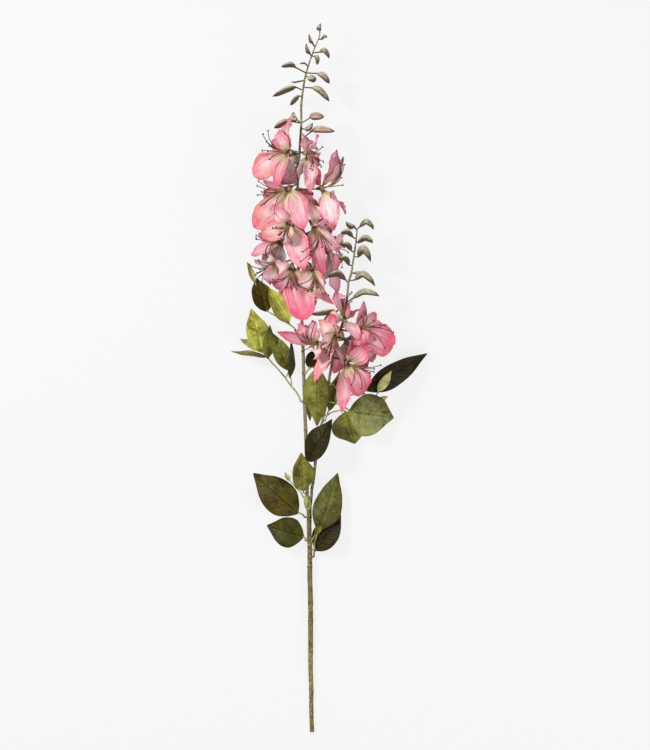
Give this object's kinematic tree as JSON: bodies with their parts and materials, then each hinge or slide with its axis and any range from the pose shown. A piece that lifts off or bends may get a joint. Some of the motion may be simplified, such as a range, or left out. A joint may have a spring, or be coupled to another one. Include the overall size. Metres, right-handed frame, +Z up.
{
  "type": "cut flower stem",
  "caption": "Tall cut flower stem lying flat, with a main and a side spike of pink lily-like blooms, claw-shaped buds and broad pointed leaves.",
  "frame": {"origin": "middle of the foot of the bounding box, on the surface the stem lies on", "axes": "+Y from the cut end of the stalk to the tip of the main spike, +Z up from the surface, +X towards the side spike"},
  "size_m": [0.2747, 0.9923, 0.098],
  "materials": {
    "stalk": "matt, bark-like",
    "spike": "matt",
    "petal": "matt, veined",
    "stamen": "matt",
    "leaf_dark": "satin, veined",
    "leaf_grey": "satin, veined",
    "leaf_lime": "satin, veined"
  },
  "bodies": {
    "root": {"leaf_centre": "leaf_lime", "leaf_centre_low": "leaf_grey", "leaf_centre_right": "leaf_lime", "leaf_low_left_big": "leaf_dark", "leaf_low_left_small": "leaf_dark", "leaf_low_right_big": "leaf_grey", "leaf_low_right_small": "leaf_dark", "leaf_mid_dark": "leaf_dark", "leaf_mid_light": "leaf_lime", "leaf_right_back": "leaf_dark", "leaf_right_front": "leaf_grey", "lower_stalk": "stalk", "main_spike": "spike", "petals_main_01": "petal", "petals_main_02": "petal", "petals_main_03": "petal", "petals_main_04": "petal", "petals_main_05": "petal", "petals_main_06": "petal", "petals_main_07": "petal", "petals_main_08": "petal", "petals_main_09": "petal", "petals_main_10": "petal", "petals_main_11": "petal", "petals_main_12": "petal", "petals_main_13": "petal", "petals_main_14": "petal", "petals_main_15": "petal", "petals_side_01": "petal", "petals_side_02": "petal", "petals_side_03": "petal", "petals_side_04": "petal", "petals_side_05": "petal", "petals_side_06": "petal", "side_spike": "spike", "spray_far_right": "leaf_dark", "spray_left": "leaf_lime", "spray_upper_left": "leaf_lime", "sprout_low_left": "leaf_lime", "sprout_low_right": "leaf_lime", "stamens_main_01": "stamen", "stamens_main_02": "stamen", "stamens_main_03": "stamen", "stamens_main_04": "stamen", "stamens_main_05": "stamen", "stamens_main_06": "stamen", "stamens_main_07": "stamen", "stamens_main_08": "stamen", "stamens_main_09": "stamen", "stamens_main_10": "stamen", "stamens_main_11": "stamen", "stamens_side_01": "stamen", "stamens_side_02": "stamen", "stamens_side_03": "stamen", "stamens_side_04": "stamen", "stamens_side_05": "stamen"}
  },
  "joints": []
}
